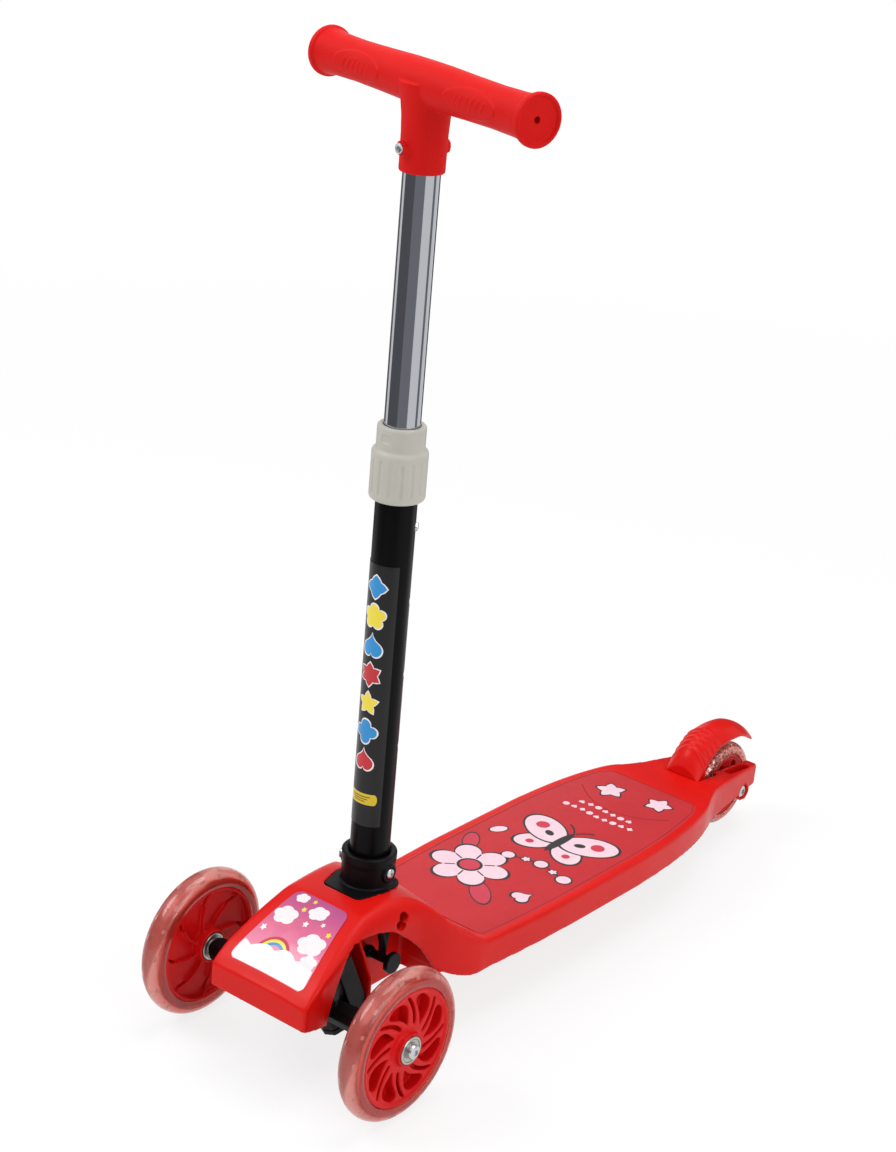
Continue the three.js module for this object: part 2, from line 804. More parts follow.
function tailCuts() {
  const slotFront = wheelbase - forkSlotAhead;
  const past = tailEnd + cutPast;
  const high = plateTop;
  const cuts = [
    block(-forkSlotHalf, forkSlotHalf, slotFront + forkSlotHalf / 2, past, 0, high),
    upright(forkSlotHalf, 0, slotFront + forkSlotHalf, 0, high),
    block(-brakeHalfWidth - runningGap, brakeHalfWidth + runningGap, brakeY - brakeFrontWall - seatGap,
      slotFront + forkSlotHalf, brakeZ - brakePocketDrop, high),
    across(brakePinRadius + seatGap, -deckHalfWidth, brakePinHalf + seatGap, brakeY, brakeZ, pinSides),
  ];
  for (const side of [-1, 1]) {
    const face = side * (rearBossHalf - rearRecessDepth);
    cuts.push(across(rearRecessRadius, face, side * deckHalfWidth, wheelbase, rearAxleZ));
    cuts.push(block(
      side > 0 ? armPocketInner : -armPocketOuter,
      side > 0 ? armPocketOuter : -armPocketInner,
      wheelbase - armPocketAhead,
      wheelbase + armPocketBehind,
      armPocketFloor,
      high,
    ));
  }
  return cuts;
}

function deckShell() {
  const outer = moulding(0, -cutPast, -noseReach, tailEnd);
  const inner = moulding(shellWall, -cutPast * 2, -noseReach + shellWall, tailEnd - solidTail);
  const hollow = outer.subtract(inner);
  const arches = underCut();
  const walls = cut(hollow, arches, kidneys());
  const core = moulding(shellWall / 2, 0, -noseReach + shellWall / 2, tailEnd - cutPast);
  const body = join(walls, mouldingRibs(core, inner), noseBosses(core), tailBosses());
  const matPocket = plan(matPlan(matInset), deckTop - matThickness - seatGap, plateTop);
  const screws = tailScrewPlaces().map(([x, y]) => {
    return upright(tailScrewRadius + seatGap / 2, x, y, 0, tailEdgeHeight + tailScrewLength, pinSides);
  });
  const axleHole = across(axleRadius, -deckHalfWidth, deckHalfWidth, wheelbase, rearAxleZ, pinSides);
  const forked = join(cut(body, noseBores(), tailCuts(), matPocket, screws), axleSeats());
  return cut(forked, axleHole);
}
add('deck_shell', deckShell(), red);
add('deck_mat', plan(matPlan(matInset + seatGap), deckTop - matThickness, deckTop), matPrint);

function noseLabel() {
  const from = labelFrontY - cutPast;
  const to = labelBackY + cutPast;
  const skin = moulding(-seatGap - labelThickness, axleZ, from, to).subtract(moulding(-seatGap, axleZ, from, to));
  return skin.intersect(plan(labelPlan(0), axleZ + humpRise / 3, plateTop + cutPast));
}
add('nose_label', noseLabel(), print);

// Steering bridge: a leaning beam with ears for the kingpins and a forked tongue in front
const earBottom = -barrelBelow - runningGap;
const earTop = barrelAbove + runningGap;
const tieLow = steerArmLow + steerArmThickness + seatGap;
const tieMid = tieLow + eyeRadius / 2;

function ear(side, s0, s1) {
  const round = rod(barrelRadius, lean(side * kingpinX, 0, s0), lean(side * kingpinX, 0, s1), pinSides);
  const inner = side * (kingpinX - barrelRadius);
  const outer = side * (kingpinX + barrelRadius);
  return join(round, leanBlock(inner, outer, 0, bridgeFront + bridgeWall, s0, s1));
}

function steeringBridge() {
  const top = earTop + earThickness;
  const bottom = earBottom - earThickness;
  const beam = leanBlock(-bridgeHalf, bridgeHalf, bridgeFront, bridgeBack, bottom, top);
  const ears = [-1, 1].flatMap((side) => [ear(side, bottom, earBottom), ear(side, earTop, top)]);
  const prong = tieBarRadius + tongueSlack + tongueWall;
  const tip = -steerArm - tieBarRadius - tongueWall;
  const tongue = leanBlock(-tongueHalf, tongueHalf, tip, bridgeFront + bridgeWall, tieMid - prong, tieMid + prong);
  const gap = tieBarRadius + tongueSlack;
  const cuts = [leanBlock(-bridgeHalf, bridgeHalf, tip - cutPast, -steerArm + gap, tieMid - gap, tieMid + gap)];
  for (const side of [-1, 1]) {
    const inner = side * bridgeCoreHalf;
    const outer = side * (bridgeHalf - bridgeWall);
    const back = bridgeBack + cutPast;
    cuts.push(leanBlock(inner, outer, bridgeFront + bridgeWall, back, bottom + bridgeWall, top - bridgeWall));
    cuts.push(rod(kingpinRadius + seatGap, lean(side * kingpinX, 0, bottom - cutPast),
      lean(side * kingpinX, 0, top + cutPast), pinSides));
  }
  for (const [x, u] of bridgeScrewPlaces()) {
    cuts.push(rod(bridgeScrewRadius + seatGap, lean(x, u, bottom - cutPast), lean(x, u, top + cutPast), pinSides));
    cuts.push(rod(bridgeScrewHead + seatGap, lean(x, u, bottom - cutPast), lean(x, u, bridgeScrewSeat), pinSides));
  }
  return cut(join(beam, ears, tongue), cuts);
}
add('steering_bridge', steeringBridge(), black);

const sideName = (side) => (side > 0 ? 'left' : 'right');

// A hexagon nut, with its hole through it
function nut(across0, thickness, hole, from, along) {
  const to = from.clone().addScaledVector(along, thickness);
  const past = along.clone().multiplyScalar(cutPast);
  const body = rod(across0, from, to, nutSides);
  return body.subtract(rod(hole, from.clone().sub(past), to.clone().add(past), pinSides));
}

for (const [x, u] of bridgeScrewPlaces()) {
  const end = earTop + earThickness + screwBossLength - cutPast;
  const shank = rod(bridgeScrewRadius, lean(x, u, bridgeScrewSeat - bridgeScrewHeadHeight), lean(x, u, end), pinSides);
  const head = rod(bridgeScrewHead, lean(x, u, bridgeScrewSeat - seatGap - bridgeScrewHeadHeight),
    lean(x, u, bridgeScrewSeat - seatGap), pinSides);
  add(`bridge_screw_${sideName(x)}`, join(shank, head), zinc);
}

// Kingpin, headed at both ends, and knuckle of one front wheel
function kingpin(side) {
  const x = side * kingpinX;
  const seat = earTop + earThickness + seatGap;
  const foot = earBottom - earThickness - seatGap;
  return join(
    rod(kingpinRadius, lean(x, 0, foot - kingpinNutHeight), lean(x, 0, seat + seatGap), pinSides),
    rod(kingpinHead, lean(x, 0, seat), lean(x, 0, seat + kingpinHeadHeight), pinSides),
    rod(kingpinHead, lean(x, 0, foot - kingpinNutHeight), lean(x, 0, foot), nutSides),
  );
}

function knuckle(side) {
  const x = side * kingpinX;
  const armEnd = side * (trackHalf - rimWidth / 2 - faceProud - seatGap);
  const step = side * armEndStep;
  const body = join(
    rod(barrelRadius, lean(x, 0, -barrelBelow), lean(x, 0, barrelAbove), pinSides),
    rod(armRadius, lean(x, 0, 0), lean(armEnd - step, 0, 0), pinSides),
    rod(spacerRadius, lean(x, 0, 0), lean(armEnd, 0, 0), pinSides),
    leanBlock(x - armWebHalf, x + armWebHalf, -steerArm, 0, steerArmLow, steerArmLow + steerArmThickness),
    rod(eyeRadius, lean(x, -steerArm, steerArmLow), lean(x, -steerArm, steerArmLow + steerArmThickness), pinSides),
  );
  const past = barrelAbove + barrelBelow;
  return cut(
    body,
    rod(kingpinRadius + seatGap, lean(x, 0, -past), lean(x, 0, past), pinSides),
    rod(tiePinRadius + seatGap, lean(x, -steerArm, 0), lean(x, -steerArm, past), pinSides),
    rod(axleRadius, lean(side * (trackHalf - axleBoltReach), 0, 0), lean(side * trackHalf, 0, 0), pinSides),
  );
}

for (const side of [-1, 1]) {
  add(`kingpin_${sideName(side)}`, kingpin(side), zinc);
  add(`knuckle_${sideName(side)}`, knuckle(side), black);
}

// Tie rod, its pins and the springs that bring the wheels back to straight
function tieRod() {
  const high = tieLow + eyeRadius;
  const bar = rod(tieBarRadius, lean(-kingpinX, -steerArm, tieMid), lean(kingpinX, -steerArm, tieMid), pinSides);
  const ends = [-1, 1].flatMap((side) => {
    const x = side * kingpinX;
    const collar = side * tieCollarX;
    return [
      rod(eyeRadius, lean(x, -steerArm, tieLow), lean(x, -steerArm, high), pinSides),
      rod(tieCollarRadius, lean(collar, -steerArm, tieMid),
        lean(collar + side * tieCollarWidth, -steerArm, tieMid), pinSides),
    ];
  });
  const holes = [-1, 1].map((side) => {
    const x = side * kingpinX;
    return rod(tiePinRadius + seatGap, lean(x, -steerArm, 0), lean(x, -steerArm, high + cutPast), pinSides);
  });
  return cut(join(bar, ends), holes);
}
add('tie_rod', tieRod(), steel);

for (const side of [-1, 1]) {
  const x = side * kingpinX;
  const high = tieLow + eyeRadius + seatGap;
  const low = steerArmLow - seatGap;
  const pin = join(
    rod(tiePinRadius, lean(x, -steerArm, low - tiePinHeadHeight),
      lean(x, -steerArm, high + tiePinHeadHeight), pinSides),
    rod(tiePinHead, lean(x, -steerArm, high), lean(x, -steerArm, high + tiePinHeadHeight), pinSides),
    rod(tiePinHead, lean(x, -steerArm, low - tiePinHeadHeight), lean(x, -steerArm, low), pinSides),
  );
  add(`tie_pin_${sideName(side)}`, pin, zinc);
  const ends = [tongueHalf + springWire, tieCollarX - springWire];
  const coil = coilPoints(centringRadius, side * ends[0], side * ends[1], centringTurns, 0);
  const along = coil.map((point) => lean(point.x, point.y - steerArm, point.z + tieMid));
  add(`centring_spring_${sideName(side)}`, wire(along, springWire), steel);
  console.log(`centring spring ${sideName(side)}: least gap ${turnGap(along, springWire).toFixed(2)} mm`);
}

// Lean stops: a Y hung from the nose roof, with a short bar, a ball and a round cap
function leanStop(side) {
  const x = side * stopProngX;
  const fork = stopZ + stopForkRise;
  const roof = plateTop + cutPast;
  const ball = new THREE.SphereGeometry(stopBallRadius, pinSides, nutSides);
  const body = join(
    across(stopBarRadius, side * stopInner, side * stopOuter, stopY, stopZ, pinSides),
    placed(ball, new THREE.Matrix4().makeTranslation(side * stopInner, stopY, stopZ)),
    across(stopCapRadius, side * (stopOuter - stopCapWidth), side * stopOuter, stopY, stopZ, bearingSides),
    rod(stopProngRadius, vec(x, stopY, stopZ), vec(x, stopY, fork + stopProngRadius), nutSides),
    rod(stopProngRadius, vec(x, stopY, fork), vec(x, stopY - stopProngSpread, roof), nutSides),
    rod(stopProngRadius, vec(x, stopY, fork), vec(x, stopY + stopProngSpread, roof), nutSides),
  );
  return body.intersect(moulding(shellWall + seatGap, -cutPast, archStart, noseEnd));
}
for (const side of [-1, 1]) add(`lean_stop_${sideName(side)}`, leanStop(side), black);

// Wheels: every profile point is (distance along the axle, radius)
function tyre(centre, radius, half, rounding, edgeHalf, bed, grooveHalf, groove) {
  const crown = [];
  for (let i = 0; i <= crownSteps; i += 1) {
    const angle = (i / crownSteps) * Math.PI;
    crown.push([half * Math.cos(angle), radius - rounding + rounding * Math.sin(angle)]);
  }
  const seat = [[-grooveHalf, bed], [-grooveHalf, groove], [grooveHalf, groove], [grooveHalf, bed]];
  const profile = [[edgeHalf, bed], ...crown, [-edgeHalf, bed], ...seat];
  return wheelForm(profile, centre);
}

// Half widths of a pocket and of a slot along their length, as shares
const pocketShares = [[0, 0.1], [0.45, 0.58], [0.88, 1], [1, 0.6]];
const slotShares = [[0, 0.8], [0.5, 1], [1, 0.8]];

function swirl(shares, centre, side, inner, outer, width, start) {
  const edge = (way) => shares.map(([along, share]) => {
    const radius = inner + (outer - inner) * along;
    const angle = start + radians(pocketSwirl) * along + (way * width * share) / 2 / radius;
    return [centre.y + side * radius * Math.cos(angle), centre.z + radius * Math.sin(angle)];
  });
  return [...edge(-1), ...edge(1).reverse()];
}

function frontHub(side, centre) {
  const rim = rimWidth / 2;
  const disc = rim - discSink;
  const face = rim + faceProud - bossFace;
  const shoulder = rim + faceProud - bearingWidth - seatGap;
  const bore = bearingRadius + seatGap;
  const half = (dish, lip) => [
    [shoulder, hubShoulder], [shoulder, bore], [face, bore], [face, bossRadius], [dish, bossRadius + discSink],
    [dish, rimRadius - rimLip], ...lip, [rim, rimRadius], [bandHalf, rimRadius], [bandHalf, bandRadius],
  ];
  const outward = half(disc, [[rim, rimRadius - rimLip / 2]]).map(([x, r]) => [side * x, r]);
  const inward = half(innerDish, []).map(([x, r]) => [-side * x, r]).reverse();
  const body = wheelForm([...outward, ...inward], centre, hubSides);
  const cuts = [];
  for (let i = 0; i < pocketCount; i += 1) {
    const start = (i / pocketCount) * 2 * Math.PI;
    const pocket = swirl(pocketShares, centre, side, pocketInner, pocketOuter, pocketWidth, start);
    const slotStart = start + Math.PI / pocketCount;
    const slot = swirl(slotShares, centre, side, slotInner, slotOuter, slotWidth, slotStart);
    const floor = centre.x + side * (disc - pocketDepth);
    const past = centre.x + side * (rim + faceProud);
    cuts.push(sidePlate(pocket, Math.min(floor, past), Math.max(floor, past)));
    cuts.push(sidePlate(slot, centre.x - rimWidth, centre.x + rimWidth));
  }
  for (let i = 0; i < lampCount; i += 1) {
    const turn = new THREE.Matrix4().makeRotationX((i / lampCount) * 2 * Math.PI).setPosition(centre);
    const wide = lampWidth / 2 + seatGap;
    const long = bandHalf + cutPast;
    cuts.push(block(-long, long, -wide, wide, bandRadius - lampDepth, bandRadius + cutPast, turn));
  }
  return cut(body, cuts);
}

function lightRing(centre) {
  const inner = bandRadius + seatGap;
  const outer = inner + ringThickness;
  const profile = [[ringHalf, inner], [ringHalf, outer], [-ringHalf, outer], [-ringHalf, inner]];
  const ring = wheelForm(profile, centre, hubSides);
  const lamps = [];
  for (let i = 0; i < lampCount; i += 1) {
    const turn = new THREE.Matrix4().makeRotationX((i / lampCount) * 2 * Math.PI).setPosition(centre);
    const long = bandHalf - seatGap;
    const low = bandRadius - lampDepth + seatGap;
    lamps.push(block(-long, long, -lampWidth / 2, lampWidth / 2, low, inner + ringThickness / 2, turn));
  }
  return join(ring, lamps);
}

// A sealed bearing whose dished shield faces outwards
function bearing(centre, side, face) {
  const outer = side * face;
  const inner = side * (face - bearingWidth);
  const dish = side * (face - shieldSink);
  return wheelForm([
    [inner, bearingBore + seatGap], [inner, bearingRadius], [outer, bearingRadius], [outer, bearingRadius - bearingRim],
    [dish, spacerRadius], [outer, spacerRadius], [outer, bearingBore + seatGap],
  ], centre, bearingSides);
}

const sleeve = (centre, x0, x1, radius) => wheelForm([
  [x0, bearingBore + seatGap], [x0, radius], [x1, radius], [x1, bearingBore + seatGap],
], centre, pinSides);

function domedHead(side, x, centre, radius, height) {
  const shoulder = side * height * headShoulderShare;
  return join(
    across(radius, x, x + shoulder, centre.y, centre.z, pinSides),
    across(radius, x + shoulder, x + side * height, centre.y, centre.z, pinSides, radius * headCrownShare),
  ).subtract(across(socketKeyRadius, x + shoulder, x + side * (height + cutPast), centre.y, centre.z, nutSides));
}

function frontWheel(side) {
  const name = sideName(side);
  const centre = vec(side * trackHalf, 0, axleZ);
  const face = rimWidth / 2 + faceProud;
  add(`hub_${name}`, frontHub(side, centre), red);
  add(`tyre_${name}`, tyre(centre, frontWheelRadius, tyreWidth / 2, tyreRounding, tyreEdgeHalf,
    rimRadius + 2 * seatGap, bandHalf + seatGap, bandRadius + ringThickness + 3 * seatGap), clear);
  add(`light_ring_${name}`, lightRing(centre), lampGrey);
  add(`bearing_outer_${name}`, bearing(centre, side, face), steel);
  add(`bearing_inner_${name}`, bearing(centre, -side, face), steel);
  const inside = face - bearingWidth - seatGap;
  add(`axle_sleeve_${name}`, sleeve(centre, -inside, inside, spacerRadius), steel);
  const seat = centre.x + side * (face + seatGap);
  const tip = side * (trackHalf - axleBoltReach + seatGap);
  const bolt = join(
    across(axleRadius - seatGap, tip, seat + side * seatGap, centre.y, centre.z, pinSides),
    domedHead(side, seat, centre, axleHeadRadius, axleHeadHeight),
  );
  add(`axle_bolt_${name}`, bolt, zinc);
}
for (const side of [-1, 1]) frontWheel(side);

// Rear wheel: the same bearings in a narrower hub, held by one bolt across the fork
const rearCentre = vec(0, wheelbase, rearAxleZ);

function rearHub() {
  const shoulder = rearHubHalf - bearingWidth - seatGap;
  const bore = bearingRadius + seatGap;
  const face = rearHubHalf - bossFace;
  const disc = rearRimHalf - discSink;
  const half = [
    [shoulder, hubShoulder], [shoulder, bore], [face, bore], [face, bossRadius], [disc, bossRadius + discSink],
    [disc, rearRimRadius - rimLip], [rearRimHalf, rearRimRadius],
    [rearBandHalf, rearRimRadius], [rearBandHalf, rearBandRadius],
  ];
  const body = wheelForm([...half, ...half.map(([x, r]) => [-x, r]).reverse()], rearCentre, tubeSides);
  const holes = [];
  for (let i = 0; i < rearHoleCount; i += 1) {
    const angle = (i / rearHoleCount) * 2 * Math.PI;
    const y = rearCentre.y + rearHoleCircle * Math.cos(angle);
    const z = rearCentre.z + rearHoleCircle * Math.sin(angle);
    holes.push(across(rearHoleRadius, -rearHubHalf - cutPast, rearHubHalf + cutPast, y, z, pinSides));
  }
  return cut(body, holes);
}

add('hub_rear', rearHub(), red);
add('tyre_rear', tyre(rearCentre, rearWheelRadius, rearTyreHalf, rearTyreRounding, rearTyreEdgeHalf,
  rearRimRadius + 2 * seatGap, rearBandHalf + seatGap, rearBandRadius + 2 * seatGap), clear);
add('bearing_rear_left', bearing(rearCentre, 1, rearHubHalf), steel);
add('bearing_rear_right', bearing(rearCentre, -1, rearHubHalf), steel);
const rearInside = rearHubHalf - bearingWidth - seatGap;
add('axle_sleeve_rear', sleeve(rearCentre, -rearInside, rearInside, spacerRadius), steel);

const rearSeat = rearBossHalf - rearRecessDepth + seatGap;
add('axle_bolt_rear', join(
  across(axleRadius - seatGap, -rearSeat - rearHeadHeight, rearSeat + seatGap, wheelbase, rearAxleZ, pinSides),
  domedHead(1, rearSeat, rearCentre, rearHeadRadius, rearHeadHeight),
), zinc);
const nutSeat = vec(-rearSeat, wheelbase, rearAxleZ);
add('axle_nut_rear', nut(rearHeadRadius, rearHeadHeight, axleRadius, nutSeat, vec(-1, 0, 0)), zinc);

// Stem base: plate, socket for the tube and spigot into the nose
const spigotBottom = plateTop - plateThickness - spigotDrop;
const baseBoltZ = plateTop + baseBoltRise;

function stemBase() {
  const top = plateTop + socketRise;
  const body = join(
    plan(roundedPlan(stemPlateCorners(0), plateCorner), plateTop - plateThickness, plateTop),
    upright(socketRadius, 0, stemY, plateTop - plateThickness, top),
    upright(socketRadius + socketLip, 0, stemY, top - socketLipHeight, top),
    upright(spigotRadius, 0, stemY, spigotBottom, plateTop),
    across(baseBossRadius, -socketRadius - baseBossReach, socketRadius + baseBossReach, stemY, baseBoltZ),
  );
  return cut(
    body,
    upright(outerTubeRadius + seatGap, 0, stemY, outerTubeBottom - seatGap, top + cutPast),
    upright(stemBoltRadius + seatGap, 0, stemY, spigotBottom - cutPast, spigotBottom + stemBoltReach, pinSides),
    across(baseBoltRadius + seatGap, -deckHalfWidth, deckHalfWidth, stemY, baseBoltZ, pinSides),
  );
}
add('stem_base', stemBase(), black);

const stemBoltSeat = spigotBottom - 2 * seatGap - stemBossFloor;
add('stem_bolt', join(
  upright(stemBoltRadius, 0, stemY, stemBoltSeat - seatGap, spigotBottom + stemBoltReach - seatGap, pinSides),
  upright(stemBoltHead, 0, stemY, stemBoltSeat - stemBoltHeadHeight, stemBoltSeat, nutSides),
), zinc);

const baseSeat = socketRadius + baseBossReach + seatGap;
add('base_bolt', join(
  across(baseBoltRadius, -baseSeat - baseHeadHeight, baseSeat + seatGap, stemY, baseBoltZ, pinSides),
  domedHead(1, baseSeat, vec(0, stemY, baseBoltZ), baseHeadRadius, baseHeadHeight),
), zinc);
const baseNutSeat = vec(-baseSeat, stemY, baseBoltZ);
add('base_nut', nut(baseHeadRadius, baseHeadHeight, baseBoltRadius + seatGap, baseNutSeat, vec(-1, 0, 0)), zinc);

// Stem tubes with the snap button that sets the height
const snapWay = vec(Math.cos(radians(snapAngle)), Math.sin(radians(snapAngle)), 0);
const snapAt = (reach, z) => vec(0, stemY, z).addScaledVector(snapWay, reach);

function outerTube() {
  const body = tube(outerTubeRadius, outerTubeRadius - outerTubeWall, 0, stemY, outerTubeBottom, outerTubeTop);
  const holes = [across(baseBoltRadius + seatGap, -deckHalfWidth, deckHalfWidth, stemY, baseBoltZ, pinSides)];
  for (let i = 0; i <= holeSteps; i += 1) {
    const z = snapHeight - i * holePitch;
    holes.push(rod(snapRadius + seatGap, snapAt(0, z), snapAt(socketRadius, z), pinSides));
  }
  return cut(body, holes);
}
add('outer_tube', outerTube(), paint);

const handleWay = vec(Math.cos(radians(barTurn)), Math.sin(radians(barTurn)), 0);
const crossWay = vec(-handleWay.y, handleWay.x, 0);
const crossAt = (reach) => vec(0, stemY, crossBoltHeight).addScaledVector(crossWay, reach);

add('inner_tube', cut(
  tube(innerTubeRadius, innerTubeRadius - innerTubeWall, 0, stemY, innerTubeBottom, innerTubeTop),
  rod(snapRadius + seatGap, snapAt(0, snapHeight), snapAt(socketRadius, snapHeight), pinSides),
  rod(crossBoltRadius + seatGap, crossAt(-crossBossReach), crossAt(crossBossReach), pinSides),
), chrome);

const clipReach = innerTubeRadius - innerTubeWall - snapFlangeThickness - clipSlack;
add('snap_button', join(
  rod(snapRadius, snapAt(clipReach, snapHeight), snapAt(outerTubeRadius + snapProud, snapHeight), pinSides),
  rod(snapFlange, snapAt(clipReach - snapFlangeThickness, snapHeight), snapAt(clipReach, snapHeight), pinSides),
), zinc);

// Leaf spring bent to a U: one leg carries the button, the other bears on the tube
function snapClip() {
  const near = clipReach - snapFlangeThickness - seatGap;
  const far = -Math.sqrt((innerTubeRadius - innerTubeWall) ** 2 - (clipWidth / 2) ** 2) + seatGap;
  const middle = (near + far) / 2;
  const radius = (near - far) / 2;
  const bend = snapHeight - clipLegLength;
  const shape = new THREE.Shape();
  shape.moveTo(near, snapHeight + snapFlange);
  shape.lineTo(near - clipThickness, snapHeight + snapFlange);
  shape.lineTo(near - clipThickness, bend);
  shape.absarc(middle, bend, radius - clipThickness, 0, Math.PI, true);
  shape.lineTo(far + clipThickness, snapHeight);
  shape.lineTo(far, snapHeight);
  shape.lineTo(far, bend);
  shape.absarc(middle, bend, radius, Math.PI, 2 * Math.PI, false);
  shape.closePath();
  const geometry = new THREE.ExtrudeGeometry(shape, { depth: clipWidth, bevelEnabled: false, curveSegments: arcSteps });
  geometry.translate(0, 0, -clipWidth / 2);
  const side = vec(snapWay.y, -snapWay.x, 0);
  const turn = new THREE.Matrix4().makeBasis(snapWay, vec(0, 0, 1), side).setPosition(0, stemY, 0);
  return placed(geometry, turn);
}
add('snap_clip', snapClip(), steel);

function stemLabel() {
  const inner = outerTubeRadius + seatGap;
  const half = radians(stemLabelAngle) / 2;
  const front = -Math.PI / 2;
  const shape = new THREE.Shape();
  shape.absarc(0, 0, inner + labelThickness, front - half, front + half, false);
  shape.absarc(0, 0, inner, front + half, front - half, true);
  shape.closePath();
  const depth = stemLabelTop - stemLabelBottom;
  const geometry = new THREE.ExtrudeGeometry(shape, { depth, bevelEnabled: false, curveSegments: labelSegments });
  geometry.translate(0, stemY, stemLabelBottom);
  return solid(geometry);
}
add('stem_label', stemLabel(), print);

// Clamp collar over the joint of the tubes, and the split bush that it squeezes
const collarStep = collarBottom + collarSkirt;
const collarTop = collarStep + collarNeck;

function collar() {
  const bore = outerTubeRadius + seatGap;
  const bushBore = innerTubeRadius + 2 * seatGap + bushWall;
  const seat = outerTubeTop + seatGap;
  const lid = collarTop - collarLid;
  const body = turned([
    [bore, collarBottom], [collarRadius - collarTaper / 2, collarBottom], [collarRadius, collarBottom + collarTaper],
    [collarRadius, collarStep - collarTaper], [collarNeckRadius, collarStep],
    [collarNeckRadius, collarTop - collarTaper / 2], [collarNeckRadius - collarTaper / 4, collarTop],
    [innerTubeRadius + seatGap, collarTop], [innerTubeRadius + seatGap, lid],
    [bushBore, lid], [bushBore, seat], [bore, seat],
  ], 0, stemY);
  const flutes = [];
  for (let i = 0; i < collarFlutes; i += 1) {
    const angle = (i / collarFlutes) * 2 * Math.PI;
    const reach = collarRadius - collarFluteDepth + fluteRadius;
    const x = reach * Math.cos(angle);
    const y = stemY + reach * Math.sin(angle);
    flutes.push(upright(fluteRadius, x, y, collarBottom + collarTaper, collarStep - collarTaper, nutSides));
  }
  return cut(body, flutes);
}
add('clamp_collar', collar(), ivory);

const bushInner = innerTubeRadius + seatGap;
const bush = tube(bushInner + bushWall, bushInner, 0, stemY, outerTubeTop + 2 * seatGap, collarTop - collarLid - seatGap);
const split = block(-bushSplit / 2, bushSplit / 2, stemY, stemY + collarRadius, outerTubeTop, collarTop);
add('tube_bush', bush.subtract(split), ivory);

// T-handle: one moulding with two grips, a neck for the tube and bosses for its bolt
function handle() {
  const half = [
    [barHalfLength - dishDepth, 0], [barHalfLength - dishDepth, dishRadius], [barHalfLength, dishRadius + dishDepth],
    [barHalfLength - flangeRound, flangeRadius], [barHalfLength - flangeWidth, flangeRadius],
    [barHalfLength - flangeWidth - flangeRound, barRadius],
    ...gripShares.map(([along, swell]) => [barHalfLength * along, barWaist + (barRadius - barWaist) * swell]),
  ];
  const turn = new THREE.Matrix4().makeRotationZ(radians(barTurn)).setPosition(0, stemY, barHeight);
  const profile = [...half, ...half.map(([x, r]) => [-x, r]).reverse()].map(([x, r]) => new THREE.Vector2(r, x));
  const lathe = new THREE.LatheGeometry(profile, tubeSides);
  lathe.rotateZ(-Math.PI / 2);
  const bar = placed(lathe, turn);
  const pads = [-1, 1].map((side) => {
    const pad = new THREE.SphereGeometry(1, pinSides, padRings);
    pad.scale(padLength / 2, barWaist + padRise, padHeight / 2);
    pad.translate(side * barHalfLength * padPlaceShare, -padForward, 0);
    return placed(pad, turn);
  });
  const neck = join(
    upright(neckRadius, 0, stemY, neckBottom, barHeight),
    upright(neckRadius, 0, stemY, barHeight - neckFlare, barHeight, tubeSides, neckFlareRadius),
    rod(crossBossRadius, crossAt(-crossBossReach), crossAt(crossBossReach), pinSides),
  );
  const holes = [-1, 1].map((side) => {
    const end = side * barHalfLength;
    const hole = new THREE.CylinderGeometry(endHoleRadius, endHoleRadius, 2 * endHoleDepth, nutSides);
    hole.rotateZ(Math.PI / 2);
    hole.translate(end, 0, 0);
    return placed(hole, turn);
  });
  return cut(
    join(bar, neck, pads),
    holes,
    upright(innerTubeRadius + seatGap, 0, stemY, neckBottom - cutPast, innerTubeTop + seatGap),
    rod(crossBoltRadius + seatGap, crossAt(-socketRadius), crossAt(socketRadius), pinSides),
    rod(crossHeadRadius + seatGap, crossAt(crossBossReach - crossNutHeight - seatGap),
      crossAt(crossBossReach + cutPast), pinSides),
  );
}
add('t_handle', handle(), red);

add('handle_bolt', join(
  rod(crossBoltRadius, crossAt(-crossBossReach - seatGap - seatGap), crossAt(crossBossReach - seatGap), pinSides),
  rod(crossHeadRadius, crossAt(-crossBossReach - seatGap), crossAt(-crossBossReach - seatGap - crossHeadHeight), pinSides,
    crossHeadRadius * headCrownShare),
), zinc);
add('handle_nut', nut(crossHeadRadius, crossNutHeight, crossBoltRadius + seatGap,
  crossAt(crossBossReach - crossNutHeight), crossWay), zinc);

// Rear brake: an arched cover that turns on a pin and presses a pad on the tyre.
// Each row gives a place along it, the rise of its crown and edge, and its half width.
const brakeShares = [
  [0, 0.37, 0.14, 1], [0.04, 0.56, 0.22, 1], [0.078, 0.674, 0.33, 1], [0.175, 0.837, 0.54, 1],
  [0.32, 0.957, 0.735, 1], [0.466, 1, 0.775, 1], [0.612, 0.967, 0.76, 0.99], [0.757, 0.848, 0.655, 0.93],
  [0.893, 0.663, 0.5, 0.76], [0.96, 0.53, 0.41, 0.62], [1, 0.435, 0.36, 0.48],
];
const ridgeStartShare = 0.07;
const ridgeEndShare = 0.34;
const crownPlaceShares = [0, 0.48, 0.8, 1];

function brakeRing(along, inset, foot) {
  const y = brakeY - brakeFrontWall + brakeLength * along;
  const crown = brakeZ + brakeRise * follow(brakeShares, along, 1) - inset;
  const edge = brakeZ + brakeRise * follow(brakeShares, along, 2) - inset;
  const half = brakeHalfWidth * follow(brakeShares, along, 3) - inset;
  const arch = crownPlaceShares.map((place) => [half * place, crown - (crown - edge) * place ** 2]);
  const right = arch.slice(1).reverse().map(([x, z]) => vec(x, y, z));
  const left = arch.map(([x, z]) => vec(-x, y, z));
  return [vec(half, y, edge - foot), ...right, ...left, vec(-half, y, edge - foot)];
}

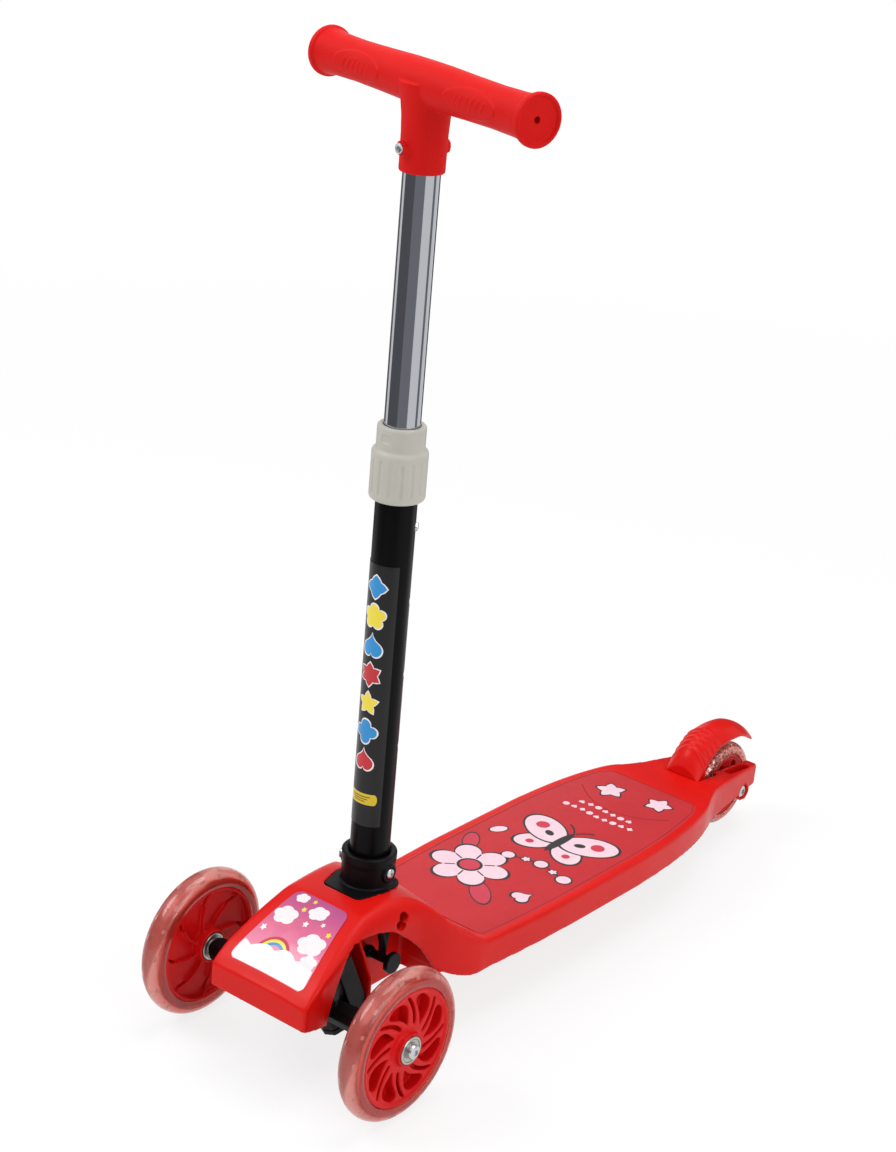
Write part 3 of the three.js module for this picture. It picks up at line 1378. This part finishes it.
function brakeForm(inset, foot, ridged) {
  const places = brakeShares.map(([along]) => along);
  if (!ridged) return loft(places.map((along) => brakeRing(along, inset, foot)));
  const step = (ridgeEndShare - ridgeStartShare) / (2 * brakeRidges);
  const rings = places.filter((along) => along < ridgeStartShare || along > ridgeEndShare)
    .map((along) => [along, 0]);
  for (let i = 0; i <= 2 * brakeRidges; i += 1) rings.push([ridgeStartShare + step * i, i % 2 ? brakeRidge : 0]);
  rings.sort((a, b) => a[0] - b[0]);
  return loft(rings.map(([along, rise]) => brakeRing(along, inset - rise, foot)));
}

// The tyre as the cover sees it when it is pressed to its limit
function pressedWheel(grow, half) {
  const angle = radians(brakePress);
  const y = wheelbase - brakeY;
  const z = rearAxleZ - brakeZ;
  const centreY = brakeY + y * Math.cos(angle) - z * Math.sin(angle);
  const centreZ = brakeZ + y * Math.sin(angle) + z * Math.cos(angle);
  return across(rearWheelRadius + grow, -half, half, centreY, centreZ, wheelSides);
}

function brakeCover() {
  const skin = brakeForm(0, brakeLip, true);
  const deep = brakeForm(0, brakeRise, false);
  const hollow = brakeForm(brakeWall, brakeRise * 2, false);
  const wallEnd = brakeY - brakeFrontWall + brakeWall;
  const past = wheelbase + brakeLength;
  const room = hollow.intersect(block(-deckHalfWidth, deckHalfWidth, wallEnd, past, 0, plateTop));
  const reach = brakeHalfWidth - brakeWall / 2;
  const lugs = [-1, 1].flatMap((side) => [
    block(side * brakeLugInner, side * reach, brakeY - brakeFrontWall, brakeY + brakeBarrel, brakeZ, brakeZ + brakeRise / 2)
      .intersect(deep),
    across(brakeBarrel, side * brakeLugInner, side * reach, brakeY, brakeZ),
  ]);
  const ribs = [-1, 1].map((side) => {
    const x = side * padHalfWidth * padRibShare;
    return block(x - ribWall / 2, x + ribWall / 2, wheelbase + padAhead, wheelbase + padBehind, rearAxleZ, plateTop)
      .intersect(brakeForm(brakeWall / 2, brakeRise, false))
      .subtract(pressedWheel(runningGap + padThickness + seatGap, brakeHalfWidth));
  });
  const pin = across(brakePinRadius + seatGap, -deckHalfWidth, deckHalfWidth, brakeY, brakeZ, pinSides);
  return cut(join(skin.subtract(room), lugs, ribs), pin);
}
add('brake_cover', brakeCover(), red);

const padBlock = block(-padHalfWidth, padHalfWidth, wheelbase + padAhead, wheelbase + padBehind, rearAxleZ, plateTop);
add('brake_pad', padBlock.intersect(pressedWheel(runningGap + padThickness, padHalfWidth + cutPast))
  .subtract(pressedWheel(runningGap, padHalfWidth + 2 * cutPast)), steel);
add('brake_pin', across(brakePinRadius, -brakePinHalf, brakePinHalf, brakeY, brakeZ, pinSides), zinc);

const brakeCoil = coilPoints(brakeCoilRadius, -brakeSpringHalf, brakeSpringHalf, brakeTurns, 0);
add('brake_spring', wire(brakeCoil.map((p) => vec(p.x, p.y + brakeY, p.z + brakeZ)), brakeSpringWire), steel);
console.log(`brake spring: least gap ${turnGap(brakeCoil, brakeSpringWire).toFixed(2)} mm`);

// Plate under the fork, with its two screws
function tailPlate() {
  const top = tailEdgeHeight - seatGap;
  const front = wheelbase - tailPlateAhead;
  const back = wheelbase - tailPlateStop;
  const outline = roundedPlan([
    [-tailPlateFrontHalf, front], [tailPlateFrontHalf, front], [tailPlateHalf, back], [-tailPlateHalf, back],
  ], plateCorner);
  const slotFront = wheelbase - forkSlotAhead + forkSlotHalf;
  const holes = tailScrewPlaces().map(([x, y]) => upright(tailScrewRadius + seatGap, x, y, 0, top + cutPast, pinSides));
  return cut(
    plan(outline, top - tailPlateThickness, top),
    upright(forkSlotHalf, 0, slotFront, 0, top + cutPast),
    block(-forkSlotHalf, forkSlotHalf, slotFront, wheelbase, 0, top + cutPast),
    holes,
  );
}
add('tail_plate', tailPlate(), black);

for (const [x, y] of tailScrewPlaces()) {
  const seat = tailEdgeHeight - 2 * seatGap - tailPlateThickness;
  add(`tail_screw_${sideName(x)}`, join(
    upright(tailScrewRadius, x, y, seat - seatGap, seat + tailScrewLength, pinSides),
    upright(tailScrewHead, x, y, seat - tailScrewHeadHeight, seat, pinSides),
  ), zinc);
}

export default scooter;
